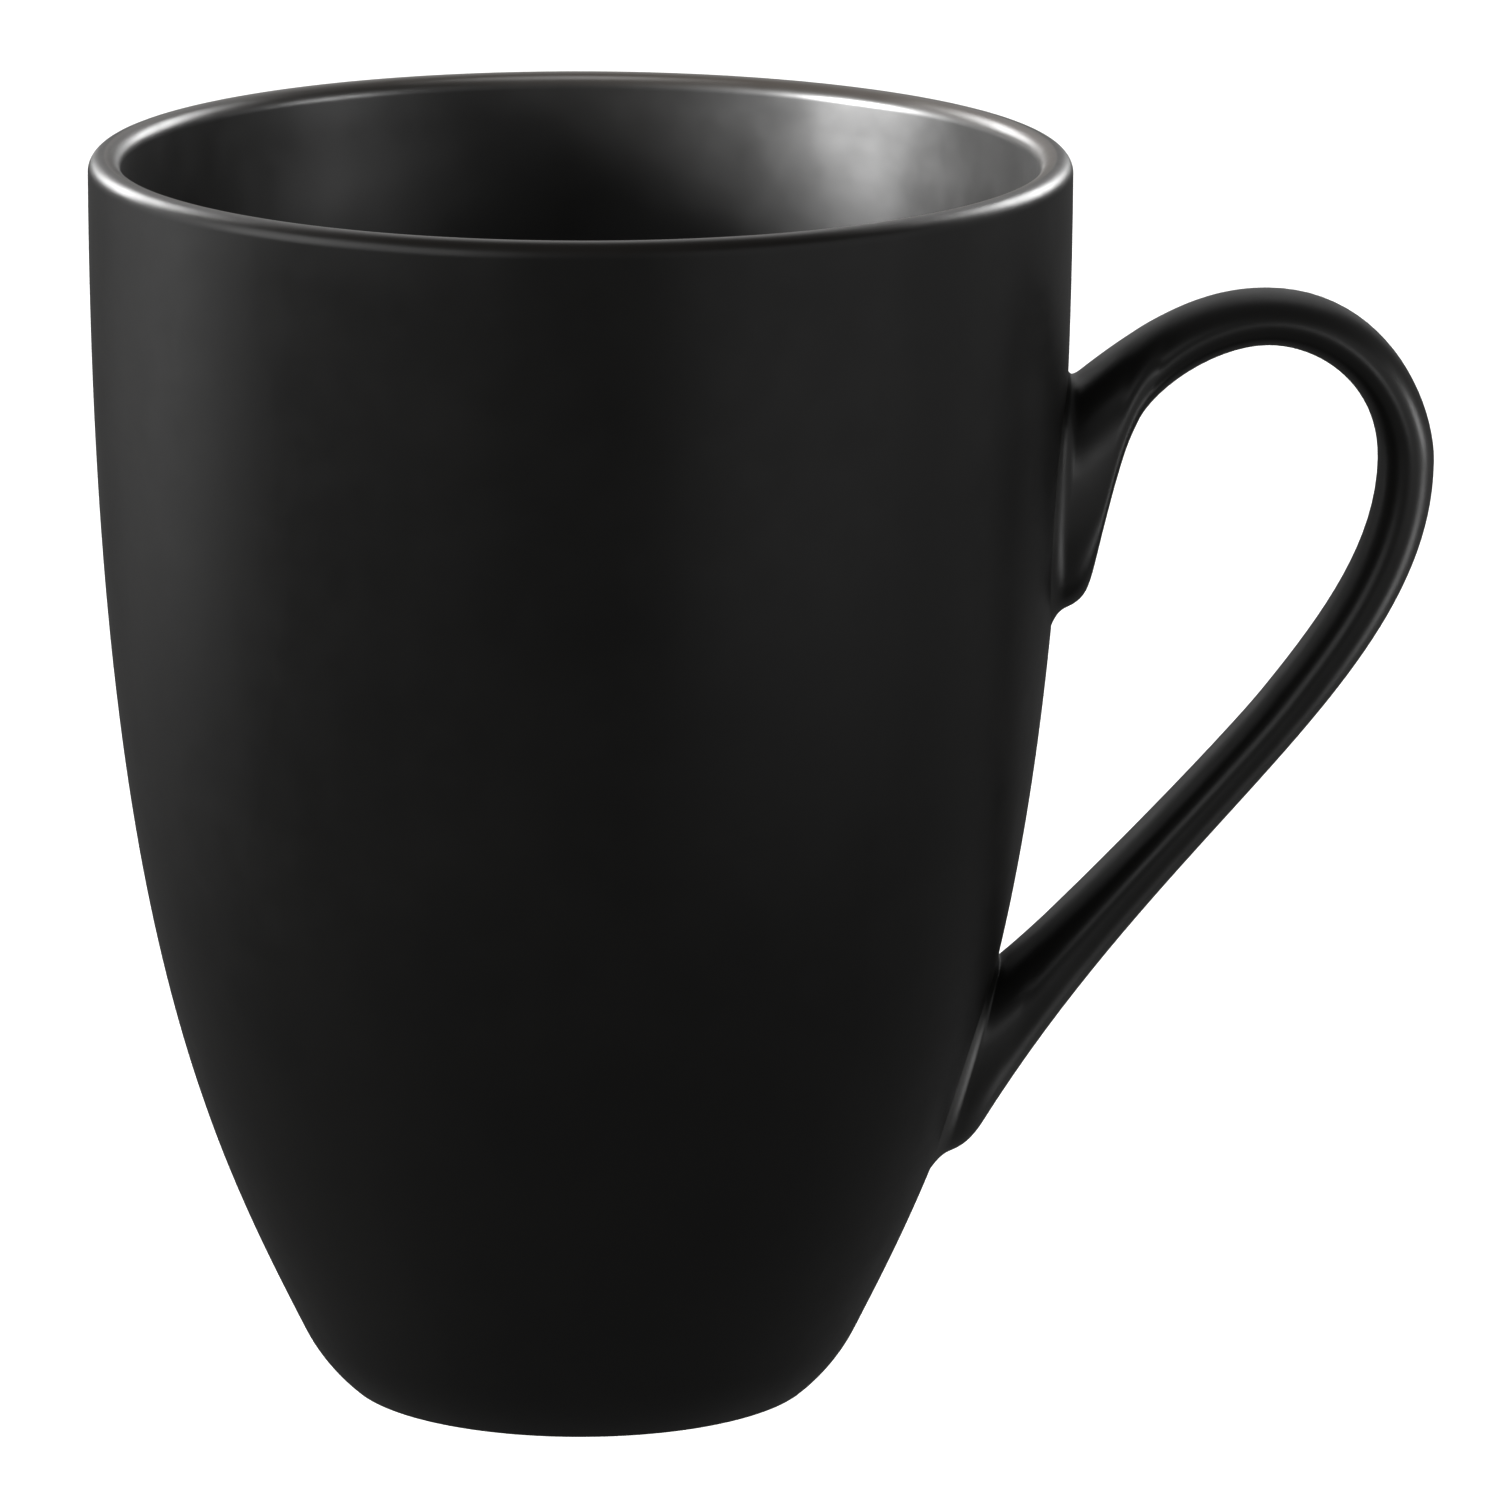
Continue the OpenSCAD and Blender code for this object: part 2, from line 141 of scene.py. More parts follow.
def vesselOutlines(shape):
    glazeT = mug["glazeT"]
    footRound = shape["footRound"]
    footLean = math.degrees(math.asin((footRound - shape["glazeLift"]) / (footRound + glazeT)))
    cornerR, lean = shape["cornerR"], shape["wallLean"]
    footAt = Vector((shape["footR"], footRound))
    cornerAt = footAt + (footRound - cornerR) * aim(-footLean)
    wallStart = cornerAt + cornerR * aim(-lean)
    lipR = shape["lipT"] / 2
    lipAt = Vector((mug["rimR"] - glazeT - lipR, mug["height"] - glazeT - lipR))
    lipSide = lipAt + Vector((lipR, 0))
    wallCurve = [wallStart, wallStart + shape["bellyPull"] * aim(90 - lean),
                 lipSide - Vector((0, shape["shoulderPull"])), lipSide]

    outer = [(cornerAt + cornerR * aim(-footLean), aim(-footLean))]
    outer += arcPairs(cornerAt, cornerR, -footLean, -lean, shape["arcSteps"])
    outer += [(bezier(wallCurve, u), outOf(wallCurve, u)) for u in steps(shape["wallSteps"])]
    outer += arcPairs(lipAt, lipR, 0, 90, shape["arcSteps"])

    def innerPoint(u):
        thickness = mix(shape["wallT"], shape["lipT"], u ** 3)
        return bezier(wallCurve, u) - thickness * outOf(wallCurve, u)

    floorZ = shape["recessDepth"] + shape["floorT"]
    coveU = halved(innerPoint, floorZ + shape["coveH"])
    coveTop = innerPoint(coveU)
    across = outOf(wallCurve, coveU)
    coveDown = Vector((across.y, -across.x))
    coveCorner = coveTop + coveDown * (floorZ - coveTop.y) / coveDown.y
    coveReach = Vector(((coveCorner - coveTop).length, 0))
    coveCurve = [coveTop, mix(coveTop, coveCorner, shape["coveFullness"]),
                 coveCorner - (1 - shape["coveFullness"]) * coveReach, coveCorner - coveReach]
    inner = [outer[-1]] + arcPairs(lipAt, lipR, 90, 180, shape["arcSteps"])
    for share in steps(shape["wallSteps"]):
        u = mix(1, coveU, share)
        inner.append((innerPoint(u), -outOf(wallCurve, u)))
    inner += [(bezier(coveCurve, u), outOf(coveCurve, u)) for u in steps(shape["arcSteps"])]
    inner.append((Vector((0, floorZ)), Vector((0, 1))))

    recessLean, recessRound, recessCove = shape["recessLean"], shape["recessRound"], shape["recessCove"]
    edgeAt = Vector((shape["footR"] - shape["footRingW"], recessRound))
    edge = arcPairs(edgeAt, recessRound, -90, -180 + recessLean, shape["arcSteps"])
    sideLow = edge[-1][0]
    sideOut = aim(180 + recessLean)
    rise = shape["recessDepth"] - recessCove * (1 - math.sin(math.radians(recessLean))) - sideLow.y
    sideTop = sideLow + Vector((-math.tan(math.radians(recessLean)), 1)) * rise
    turnAt = sideTop + recessCove * sideOut
    recess = [(sideLow, sideOut), (sideTop, sideOut)]
    recess += arcPairs(turnAt, recessCove, recessLean, 90, shape["arcSteps"], -1)
    recess.append((Vector((0, shape["recessDepth"])), Vector((0, -1))))

    footEdge = [(Vector((shape["footR"], 0)), None)]
    footEdge += arcPairs(footAt, footRound, -90, -footLean, shape["arcSteps"])
    ringEdge = [(Vector((edgeAt.x, 0)), None)] + edge
    return dict(wall=wallCurve, outer=outer, inner=inner, recess=recess, footEdge=footEdge, ringEdge=ringEdge)


outlines = vesselOutlines(vesselShape)


def wallR(height):
    wall = outlines["wall"]
    return bezier(wall, halved(lambda u: bezier(wall, u), height)).x


def onWall(y, z, lift):
    return Vector((math.sqrt((wallR(z) + lift) ** 2 - y * y), y, z))


def finishPiece(bm, name, nodes, sharp=sharpAngle):
    bmesh.ops.remove_doubles(bm, verts=bm.verts, dist=weldGap)
    bmesh.ops.recalc_face_normals(bm, faces=bm.faces)
    mesh = bpy.data.meshes.new(name)
    bm.to_mesh(mesh)
    bm.free()
    mesh.shade_smooth()
    mesh.set_sharp_from_angle(angle=math.radians(sharp))
    piece = bpy.data.objects.new(name, mesh)
    scene.collection.objects.link(piece)
    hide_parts(*nodes)
    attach(piece, "root")
    return piece


def spun(outline):
    # turns a closed outline about the mug's axis
    bm = bmesh.new()
    verts = [bm.verts.new((p.x * mm, 0, p.y * mm)) for p in outline]
    edges = [bm.edges.new(pair) for pair in zip(verts, verts[1:] + verts[:1])]
    edges = [e for e in edges if max(v.co.x for v in e.verts) > axisGap]
    bmesh.ops.spin(bm, geom=verts + edges, cent=(0, 0, 0), axis=(0, 0, 1), angle=math.tau,
                   steps=mug["spinSteps"], use_merge=True)
    return bm


def coatOutline(pairs):
    return [p + mug["glazeT"] * out for p, out in pairs] + [p for p, out in reversed(pairs)]


def lofted(rings, startMiddle=None, endMiddle=None):
    # carries one circle through every ring, and gathers an end to a middle point where one is given
    bm = bmesh.new()
    ring = bmesh.ops.create_circle(bm, segments=len(rings[0]), radius=mm)["verts"]
    for vert, point in zip(ring, rings[0]):
        vert.co = point * mm
    firstEdges = bm.edges[:]
    edges = firstEdges
    for points in rings[1:]:
        edges, ring = carried(bm, edges, ring, points)
    if endMiddle is not None:
        carried(bm, edges, ring, [endMiddle] * len(ring))
    if startMiddle is not None:
        start = bm.verts[:len(rings[0])]
        carried(bm, firstEdges, start, [startMiddle] * len(start))
    return bm


def carried(bm, edges, ring, points):
    # extrudes a ring of edges and sets the new ring's points
    made = bmesh.ops.extrude_edge_only(bm, edges=edges)["geom"]
    newVerts = {v for v in made if isinstance(v, bmesh.types.BMVert)}
    newEdges = [e for e in made if isinstance(e, bmesh.types.BMEdge)]
    newRing = []
    for vert, point in zip(ring, points):
        twin = next(e.other_vert(vert) for e in vert.link_edges if e.other_vert(vert) in newVerts)
        twin.co = point * mm
        newRing.append(twin)
    return newEdges, newRing


# The handle starts as the edges of its glazed strap in the XZ plane. Rings then go round the clay inside.
handleShape = dict(
    rimDrop=20,
    upperPadH=19.7,
    upperPadW=15,
    lowerPadZ=20,
    lowerPadH=16.7,
    lowerPadW=14,
    archOut=16.8,
    knuckleDrop=6.6,
    archT=4.6,
    knuckleT=4.8,
    strapW=9.5,
    strapSquareness=2.2,
    padSquareness=2.5,
    upperHeel=(3.2, 3),    # out and up from a pad's toe to the end of its heel
    lowerHeel=(4.1, 3),
    neckAt=(0.187, 0.596),       # shares of the way from the upper heel to the arch
    kneeAt=(0.7045, 0.5433),     # shares of the way from the landing to the knuckle
    heelAim=12,            # degrees up from level: how the edges run where their stretches meet
    topAim=41,
    upperFaceAim=78,
    lowerFaceAim=59,
    neckAim=68.5,
    kneeAim=52,
    landingAim=42.6,
    padShare=0.28,         # shares of the outer rise over the upper pad and over the neck
    neckShare=0.5,
    kneeShare=0.33,        # share of the outer fall over the knee
    edgeShare=0.82,        # share of the inner landing above the lower pad's edge
    padFree=0.17,          # how free the section is of the wall, from 0 to 1, at each place
    neckFree=0.57,
    edgeFree=0.2,
    heelSteps=(0.3, 0.4, 0.5, 0.6, 0.7, 0.8, 0.9),
    riseRibs=12,
    archRibs=14,
    turnRibs=22,
    fallRibs=16,
    landRibs=26,
    beadR=1.4,
    beadSteps=8,
    capShares=(0.25, 0.5, 0.75),
    skirtSink=0.004,       # how far the skirt dips under the outside coat, so that no step shows
    skirtSharp=60,         # edges of its coat that turn by more degrees than this stay sharp
    plugReach=5,           # how far the window's plug goes in and out of the wall
    sides=48,
)


def handleEdges(shape):
    rimR, glazeT = mug["rimR"], mug["glazeT"]
    padTop = mug["height"] - shape["rimDrop"]
    right, down = Vector((1, 0)), Vector((0, -1))

    def onCoat(z):
        return Vector((wallR(z) + glazeT, z))

    def between(a, b, at):
        return Vector((mix(a.x, b.x, at[0]), mix(a.y, b.y, at[1])))

    archTop = Vector((rimR + shape["archOut"], handleTop.z / mm))
    knuckle = Vector((handleTop.x / mm, padTop - shape["knuckleDrop"]))
    archUnder = archTop - Vector((0, shape["archT"]))
    knuckleIn = knuckle - Vector((shape["knuckleT"], 0))
    upperToe = onCoat(padTop - shape["upperPadH"])
    upperFace = upperToe + Vector(shape["upperHeel"])
    lowerToe = onCoat(shape["lowerPadZ"])
    lowerFace = lowerToe + Vector(shape["lowerHeel"])
    landing = onCoat(shape["lowerPadZ"] + shape["lowerPadH"])
    neck = between(upperFace, archUnder, shape["neckAt"])
    knee = between(landing, knuckleIn, shape["kneeAt"])
    heelAim, topAim = aim(shape["heelAim"]), aim(shape["topAim"])
    upperAim, lowerAim = aim(shape["upperFaceAim"]), aim(shape["lowerFaceAim"])
    neckAim, kneeAim, landingAim = aim(shape["neckAim"]), aim(shape["kneeAim"]), aim(shape["landingAim"])
    # the last pair of each is how far it keeps the direction at its two ends, in shares of its chord
    return dict(
        upperHeel=stretch(upperToe, heelAim, upperFace, upperAim, (0.547, 0.342)),
        lowerHeel=stretch(lowerToe, heelAim, lowerFace, lowerAim, (0.525, 0.295)),
        outerRise=stretch(onCoat(padTop), topAim, archTop, right, (0.505, 0.275)),
        outerTurn=stretch(archTop, right, knuckle, down, (0.479, 0.266)),
        outerFall=stretch(knuckle, down, lowerFace, -lowerAim, (0.269, 0.452)),
        innerRise=stretch(upperFace, upperAim, neck, neckAim, (0.749, 0.298)),
        innerArch=stretch(neck, neckAim, archUnder, right, (0.327, 0.299)),
        innerTurn=stretch(archUnder, right, knuckleIn, down, (0.321, 0.471)),
        innerFall=stretch(knuckleIn, down, knee, -kneeAim, (0.328, 0.364)),
        innerLand=stretch(knee, -kneeAim, landing, -landingAim, (0.153, 0.313)),
    )


def handleRibs(edges, shape):
    # each rib crosses the clay, from the upper pad to the lower one: its inner end, its outer end, how free
    # it is of the wall, and the width of the pad it flares to
    glazeT = mug["glazeT"]

    def inLeft(name, u):
        return bezier(edges[name], u) - glazeT * outOf(edges[name], u)

    def inRight(name, u):
        return bezier(edges[name], u) + glazeT * outOf(edges[name], u)

    def beadU(name):
        # about how far along a heel the bead's radius reaches
        heel = edges[name]
        return shape["beadR"] / (3 * (heel[1] - heel[0]).length)

    upperW, lowerW = shape["upperPadW"], shape["lowerPadW"]
    padShare, neckShare = shape["padShare"], shape["neckShare"]
    kneeShare, edgeShare = shape["kneeShare"], shape["edgeShare"]
    padFree, neckFree, edgeFree = shape["padFree"], shape["neckFree"], shape["edgeFree"]
    ribs = []
    for u in (0, beadU("upperHeel"), *shape["heelSteps"]):
        ribs.append((inLeft("upperHeel", u), inRight("outerRise", padShare * u), padFree * u, upperW))
    # inner edge with its start and end, outer edge with its start and end, freedom at both, ribs, pad width
    spans = [
        ("innerRise", 0, 1, "outerRise", padShare, neckShare, padFree, neckFree, shape["riseRibs"], upperW),
        ("innerArch", 0, 1, "outerRise", neckShare, 1, neckFree, 1, shape["archRibs"], upperW),
        ("innerTurn", 0, 1, "outerTurn", 0, 1, 1, 1, shape["turnRibs"], upperW),
        ("innerFall", 0, 1, "outerFall", 0, kneeShare, 1, 1, shape["fallRibs"], lowerW),
        ("innerLand", 0, edgeShare, "outerFall", kneeShare, 1, 1, edgeFree, shape["landRibs"], lowerW),
    ]
    for inner, innerA, innerB, outer, outerA, outerB, freeA, freeB, count, padW in spans:
        for i in range(count):
            u = i / count
            innerEnd = inLeft(inner, mix(innerA, innerB, u))
            outerEnd = inRight(outer, mix(outerA, outerB, u))
            ribs.append((innerEnd, outerEnd, mix(freeA, freeB, u), padW))
    for u in (1, *reversed(shape["heelSteps"]), beadU("lowerHeel"), 0):
        ribs.append((inLeft("innerLand", mix(1, edgeShare, u)), inLeft("lowerHeel", u), edgeFree * u, lowerW))
    return ribs


def sectionRing(rib, shape):
    inner, outer, free, padW = rib
    flare, hug = (1 - free) ** 2, (1 - free) ** 4
    width = mix(shape["strapW"], padW, flare) - 2 * mug["glazeT"]
    power = 2 / mix(shape["strapSquareness"], shape["padSquareness"], flare)
    middle, half = (inner + outer) / 2, (outer - inner) / 2
    ring = []
    for j in range(shape["sides"]):
        c = aim(360 * j / shape["sides"])
        y = math.copysign(abs(c.y) ** power, c.y) * width / 2
        p = middle + math.copysign(abs(c.x) ** power, c.x) * half
        if free == 0:
            ring.append(onWall(y, p.y, seat))
        else:
            sag = p.x - math.sqrt(p.x * p.x - y * y)
            ring.append(Vector((p.x - hug * sag, y, p.y)))
    return ring


def ringCentre(ring):
    return sum(ring, Vector()) / len(ring)


def shrunk(ring, share, lift):
    c = ringCentre(ring)
    return [onWall(mix(c.y, p.y, share), mix(c.z, p.z, share), lift) for p in ring]


def grown(ring, reach, lift):
    # the ring on the wall, pushed out by reach along the wall
    c = ringCentre(ring)
    made = []
    for j, p in enumerate(ring):
        along = ring[(j + 1) % len(ring)] - ring[j - 1]
        out = Vector((along.z, -along.y)).normalized()
        if out.dot(Vector((p.y - c.y, p.z - c.z))) < 0:
            out = -out
        made.append(onWall(p.y + reach * out.x, p.z + reach * out.y, lift))
    return made


def beadRings(pad, sideRing, lift):
    # concave fillet from the wall up to sideRing, the strap's ring next to the pad
    toe = grown(pad, handleShape["beadR"], lift)
    count = handleShape["beadSteps"]
    rings = []
    for i in range(count):
        u = i / count
        joined = zip(toe, pad, sideRing)
        rings.append([(1 - u) ** 2 * a + 2 * u * (1 - u) * b + u * u * c for a, b, c in joined])
    return rings


print("handle: edges and rings")
strap = [sectionRing(rib, handleShape) for rib in handleRibs(handleEdges(handleShape), handleShape)]
shares = handleShape["capShares"]


def makeVessel():
    outline = [p for p, out in outlines["footEdge"][:-1] + outlines["outer"] + outlines["inner"][1:]]
    outline += [p for p, out in outlines["recess"][::-1] + outlines["ringEdge"][::-1][1:]]
    return finishPiece(spun(outline), "vesselClay", ["vessel"])


def makeHandle():
    caps = [shrunk(strap[0], share, seat) for share in shares]
    endCaps = [shrunk(strap[-1], share, seat) for share in shares[::-1]]
    bm = lofted(caps + strap + endCaps, shrunk(strap[0], 0, seat)[0], shrunk(strap[-1], 0, seat)[0])
    return finishPiece(bm, "handleClay", ["handle"])


def makeSlip(name, node, pad, sideRing):
    # the layer between the wall and a pad, with the bead round it
    gap = mug["seatGap"]
    wallFace = [shrunk(pad, share, gap) for share in shares + (1,)]
    padFace = [shrunk(pad, share, seat) for share in shares[::-1]]
    rings = wallFace + beadRings(pad, sideRing, gap) + [sideRing, pad] + padFace
    bm = lofted(rings, shrunk(pad, 0, gap)[0], shrunk(pad, 0, seat)[0])
    return finishPiece(bm, name, [node])


def makeHandleGlaze():
    sink = -handleShape["skirtSink"]
    rings = beadRings(strap[0], strap[1], sink) + strap[1:-1]
    rings += beadRings(strap[-1], strap[-2], sink)[::-1]
    bm = lofted(rings)
    bmesh.ops.recalc_face_normals(bm, faces=bm.faces)
    bm.normal_update()
    middleFace = max(bm.faces, key=lambda f: f.calc_center_median().x)
    if middleFace.normal.x < 0:
        bmesh.ops.reverse_faces(bm, faces=bm.faces)
    bmesh.ops.solidify(bm, geom=bm.faces[:], thickness=-mug["glazeT"] * mm)
    return finishPiece(bm, "handleGlaze", ["handle_glaze"], handleShape["skirtSharp"])


def makeWindowCutter(pad):
    # a plug the shape of the bead's outline, which opens the outside coat under a pad
    ring = grown(pad, handleShape["beadR"], 0)
    reach = Vector((handleShape["plugReach"], 0, 0))
    near = [p - reach for p in ring]
    far = [p + reach for p in ring]
    bm = lofted([near, far], ringCentre(near), ringCentre(far))
    bmesh.ops.recalc_face_normals(bm, faces=bm.faces)
    mesh = bpy.data.meshes.new("windowCutter")
    bm.to_mesh(mesh)
    bm.free()
    cutter = bpy.data.objects.new("windowCutter", mesh)
    scene.collection.objects.link(cutter)
    return cutter


def applyModifiers(piece):
    graph = bpy.context.evaluated_depsgraph_get()
    mesh = bpy.data.meshes.new_from_object(piece.evaluated_get(graph))
    piece.modifiers.clear()
    bm = bmesh.new()
    bm.from_mesh(mesh)
    bmesh.ops.remove_doubles(bm, verts=bm.verts, dist=weldGap)
    bm.to_mesh(mesh)
    bm.free()
    old, piece.data = piece.data, mesh
    bpy.data.meshes.remove(old)


def makeCoat(outline, name, node):
    # one coat of the vessel, turned about its axis
    return finishPiece(spun(coatOutline(outlines[outline])), name, [node])


def makeOuterGlaze():
    piece = makeCoat("outer", "outerGlaze", "outer_glaze")
    cutters = [makeWindowCutter(pad) for pad in (strap[0], strap[-1])]
    for cutter in cutters:
        cut = piece.modifiers.new("padWindow", "BOOLEAN")
        cut.operation = "DIFFERENCE"
        cut.solver = "EXACT"
        cut.object = cutter
    applyModifiers(piece)
    for cutter in cutters:
        bpy.data.objects.remove(cutter)
    piece.data.set_sharp_from_angle(angle=math.radians(sharpAngle))
    return piece


noiseReach = (0.3, 0.7)    # most of a noise lies between these


def newMaterial(name, sockets):
    material = bpy.data.materials.new(name)
    material.use_nodes = True
    tree = material.node_tree
    shader = tree.nodes["Principled BSDF"]
    for socket, value in sockets.items():
        shader.inputs[socket].default_value = value
    place = tree.nodes.new("ShaderNodeTexCoord")
    return material, tree, shader, place.outputs["Object"]


def noise(tree, place, scale, detail=3, roughness=0.5):
    node = tree.nodes.new("ShaderNodeTexNoise")
    node.inputs["Scale"].default_value = scale
    node.inputs["Detail"].default_value = detail
    node.inputs["Roughness"].default_value = roughness
    tree.links.new(place, node.inputs["Vector"])
    return node.outputs["Fac"]


def ramp(tree, source, colours):
    node = tree.nodes.new("ShaderNodeValToRGB")
    for element, at, colour in zip(node.color_ramp.elements, noiseReach, colours):
        element.position = at
        element.color = (*colour, 1)
    tree.links.new(source, node.inputs["Fac"])
    return node.outputs["Color"]


def span(tree, source, low, high, fromLow=noiseReach[0], fromHigh=noiseReach[1]):
    node = tree.nodes.new("ShaderNodeMapRange")
    node.inputs["From Min"].default_value = fromLow
    node.inputs["From Max"].default_value = fromHigh
    node.inputs["To Min"].default_value = low
    node.inputs["To Max"].default_value = high
    tree.links.new(source, node.inputs["Value"])
    return node.outputs["Result"]


def mixColour(tree, factor, a, b):
    node = tree.nodes.new("ShaderNodeMix")
    node.data_type = "RGBA"
    for socket, value in ((node.inputs[0], factor), (node.inputs[6], a), (node.inputs[7], b)):
        if isinstance(value, bpy.types.NodeSocket):
            tree.links.new(value, socket)
        else:
            socket.default_value = value
    return node.outputs[2]


def bump(tree, layers):
    # layers of (height, depth in metres), each on top of the last
    normal = None
    for height, depth in layers:
        node = tree.nodes.new("ShaderNodeBump")
        node.inputs["Strength"].default_value = 1
        node.inputs["Distance"].default_value = depth
        tree.links.new(height, node.inputs["Height"])
        if normal is not None:
            tree.links.new(normal, node.inputs["Normal"])
        normal = node.outputs["Normal"]
    return normal


def heightOf(tree, place):
    node = tree.nodes.new("ShaderNodeSeparateXYZ")
    tree.links.new(place, node.inputs["Vector"])
    return node.outputs["Z"]


# In each finish, a grain is the scale and detail of a noise, with its roughness where that isn't 0.5. A bump
# is a grain and its depth in metres.
lipBand = 0.0012           # metres under the top over which the glaze thins to a browner black
matteFinish = dict(
    dark=(0.0085, 0.0083, 0.0078),
    light=(0.0125, 0.0121, 0.0112),
    lipTint=(0.021, 0.0175, 0.0145),
    roughness=(0.34, 0.4),
    specular=0.5,
    colourGrain=(70, 4, 0.55),
    sheenGrain=(260, 3),
    bumps=(((55, 2), 0.00006), ((500, 2), 0.000006), ((3500, 2), 0.0000012)),
)
satinFinish = dict(
    dark=(0.0065, 0.0064, 0.0062),
    light=(0.0095, 0.0093, 0.009),
    lipTint=(0.021, 0.0175, 0.0145),
    roughness=(0.33, 0.39),
    specular=0.5,
    colourGrain=(60, 4, 0.55),
    sheenGrain=(220, 3),
    bumps=(((50, 2), 0.00007), ((420, 2), 0.000008)),
)


def baseColour(tree, place, finish):
    return ramp(tree, noise(tree, place, *finish["colourGrain"]), (finish["dark"], finish["light"]))


def roughen(tree, place, shader, finish):
    sheen = noise(tree, place, *finish["sheenGrain"])
    tree.links.new(span(tree, sheen, *finish["roughness"]), shader.inputs["Roughness"])
    layers = [(noise(tree, place, *grain), depth) for grain, depth in finish["bumps"]]
    tree.links.new(bump(tree, layers), shader.inputs["Normal"])


def glazeMaterial(finish, name):
    material, tree, shader, place = newMaterial(name, {"Specular IOR Level": finish["specular"]})
    top = mug["height"] * mm
    lip = span(tree, heightOf(tree, place), 0, 1, top - lipBand, top)
    colour = mixColour(tree, lip, baseColour(tree, place, finish), (*finish["lipTint"], 1))
    tree.links.new(colour, shader.inputs["Base Color"])
    roughen(tree, place, shader, finish)
    return material


clayFinish = dict(
    dark=(0.36, 0.325, 0.275),
    light=(0.5, 0.46, 0.4),
    speck=(0.11, 0.085, 0.065),
    speckScale=1100,
    speckReach=(0.12, 0.2),      # a speck fades between these shares of a cell
    roughness=(0.78, 0.92),
    specular=0.35,
    colourGrain=(180, 5, 0.6),
    sheenGrain=(900, 2),
    bumps=(((900, 4), 0.00003), ((4000, 3), 0.000015)),
)
slipFinish = dict(
    clayFinish,
    dark=(0.3, 0.265, 0.225),
    light=(0.42, 0.38, 0.33),
    speck=(0.16, 0.13, 0.1),
    roughness=(0.8, 0.95),
)


def clayMaterial(finish, name):
    material, tree, shader, place = newMaterial(name, {"Specular IOR Level": finish["specular"]})
    specks = tree.nodes.new("ShaderNodeTexVoronoi")
    specks.inputs["Scale"].default_value = finish["speckScale"]
    tree.links.new(place, specks.inputs["Vector"])
    isSpeck = span(tree, specks.outputs["Distance"], 1, 0, *finish["speckReach"])
    colour = mixColour(tree, isSpeck, baseColour(tree, place, finish), (*finish["speck"], 1))
    tree.links.new(colour, shader.inputs["Base Color"])
    roughen(tree, place, shader, finish)
    return material


def dress(piece, material):
    piece.data.materials.clear()
    piece.data.materials.append(material)


studio = dict(
    floorSize=6,
    floorColour=(0.86, 0.86, 0.85),
    floorRoughness=0.9,
    worldColour=(1, 1, 1),
    worldSeen=1,           # how bright the world looks where the floor ends
    worldGlow=0.09,        # how much light it gives
)


def makeFloor():
    mesh = bpy.data.meshes.new("studioFloor")
    bm = bmesh.new()
    bmesh.ops.create_grid(bm, x_segments=1, y_segments=1, size=studio["floorSize"] / 2)
    bm.to_mesh(mesh)
    bm.free()
    floor = bpy.data.objects.new("studioFloor", mesh)
    scene.collection.objects.link(floor)
    sockets = {"Roughness": studio["floorRoughness"], "Specular IOR Level": 0}
    material, tree, shader, place = newMaterial("paleFloor", sockets)
    shader.inputs["Base Color"].default_value = (*studio["floorColour"], 1)
    # seen from below, the floor lets the underside show
    clear = tree.nodes.new("ShaderNodeBsdfTransparent")
    side = tree.nodes.new("ShaderNodeNewGeometry")
    choose = tree.nodes.new("ShaderNodeMixShader")
    tree.links.new(side.outputs["Backfacing"], choose.inputs["Fac"])
    tree.links.new(shader.outputs["BSDF"], choose.inputs[1])
    tree.links.new(clear.outputs["BSDF"], choose.inputs[2])
    tree.links.new(choose.outputs["Shader"], tree.nodes["Material Output"].inputs["Surface"])
    dress(floor, material)
    # the mug neither mirrors the floor nor is lit by it
    floor.visible_glossy = False
    floor.visible_diffuse = False


def makeWorld():
    world = bpy.data.worlds.new("studioWorld")
    scene.world = world
    world.use_nodes = True
    tree = world.node_tree
    background = tree.nodes["Background"]
    background.inputs["Color"].default_value = (*studio["worldColour"], 1)
    ray = tree.nodes.new("ShaderNodeLightPath")
    strength = span(tree, ray.outputs["Is Camera Ray"], studio["worldGlow"], studio["worldSeen"], 0, 1)
    tree.links.new(strength, background.inputs["Strength"])


